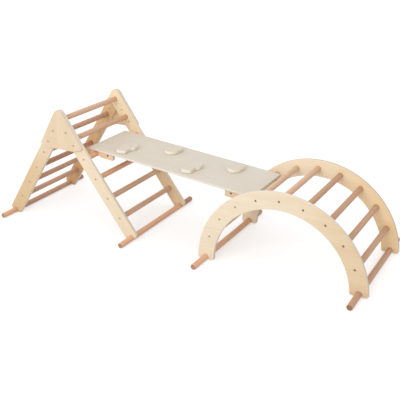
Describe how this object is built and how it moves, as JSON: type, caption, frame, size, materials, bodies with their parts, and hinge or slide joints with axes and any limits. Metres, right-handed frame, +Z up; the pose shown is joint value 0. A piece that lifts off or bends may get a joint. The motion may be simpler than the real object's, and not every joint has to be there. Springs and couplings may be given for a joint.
{
  "type": "toddler climbing frame",
  "caption": "Wooden toddler climbing frame: a rung triangle, a rung arch, and a ramp with climbing holds that hooks over a rung of each.",
  "frame": {"origin": "on the floor, under the middle of the bounding box", "axes": "+X from the triangle to the arch along the ramp, +Y across, away from the side that the picture is taken from, +Z up"},
  "size_m": [2.2018, 0.762, 0.6794],
  "materials": {
    "birch_ply": "light birch plywood under clear satin lacquer, edges eased",
    "ramp_ply": "pale birch plywood board, matt",
    "hold_wood": "sanded birch with rounded edges",
    "beech": "steamed beech dowel, oiled satin",
    "dark_steel": "dark bronzed steel"
  },
  "bodies": {
    "triangle": {"leg_left_near": "birch_ply", "leg_right_near": "birch_ply", "leg_left_far": "birch_ply", "leg_right_far": "birch_ply", "gusset_near": "birch_ply", "gusset_far": "birch_ply", "gusset_bolt_near_1": "dark_steel", "gusset_bolt_near_2": "dark_steel", "gusset_bolt_near_3": "dark_steel", "gusset_bolt_near_4": "dark_steel", "gusset_bolt_far_1": "dark_steel", "gusset_bolt_far_2": "dark_steel", "gusset_bolt_far_3": "dark_steel", "gusset_bolt_far_4": "dark_steel", "apex_rung": "beech", "ladder_rung_left_1": "beech", "ladder_rung_left_2": "beech", "ladder_rung_left_3": "beech", "ladder_rung_left_4": "beech", "ladder_rung_left_5": "beech", "ladder_rung_right_1": "beech", "ladder_rung_right_2": "beech", "ladder_rung_right_3": "beech", "ladder_rung_right_4": "beech", "ladder_rung_right_5": "beech", "foot_dowel_left": "beech", "foot_dowel_right": "beech"},
    "ramp": {"ramp_board": "ramp_ply", "climbing_hold_1": "hold_wood", "climbing_hold_2": "hold_wood", "climbing_hold_3": "hold_wood", "climbing_hold_4": "hold_wood", "hold_bolt_1": "dark_steel", "hold_bolt_2": "dark_steel", "hold_bolt_3": "dark_steel", "hold_bolt_4": "dark_steel", "ramp_batten_triangle": "birch_ply", "ramp_batten_arch": "birch_ply", "hook_triangle_near": "birch_ply", "hook_triangle_far": "birch_ply", "hook_arch_near": "birch_ply", "hook_arch_far": "birch_ply", "hook_bolt_triangle_near": "dark_steel", "hook_bolt_triangle_far": "dark_steel", "hook_bolt_arch_near": "dark_steel", "hook_bolt_arch_far": "dark_steel"},
    "arch": {"arch_panel_near": "birch_ply", "arch_panel_far": "birch_ply", "arch_rung_1": "beech", "arch_rung_2": "beech", "arch_rung_3": "beech", "arch_rung_4": "beech", "arch_rung_5": "beech", "arch_rung_6": "beech", "arch_rung_7": "beech", "arch_rung_8": "beech", "arch_rung_9": "beech", "arch_foot_dowel_left": "beech", "arch_foot_dowel_right": "beech"}
  },
  "joints": [
    {"name": "ramp_tilt", "type": "hinge", "parent": "triangle", "child": "ramp", "pos_m": [-0.50047, 0, 0.4213], "axis": [0, -1, 0], "range_deg": [0, 75]},
    {"name": "arch_shift", "type": "slide", "parent": "triangle", "child": "arch", "axis": [0, 1, 0], "range_m": [-0.057, 0.076]}
  ]
}
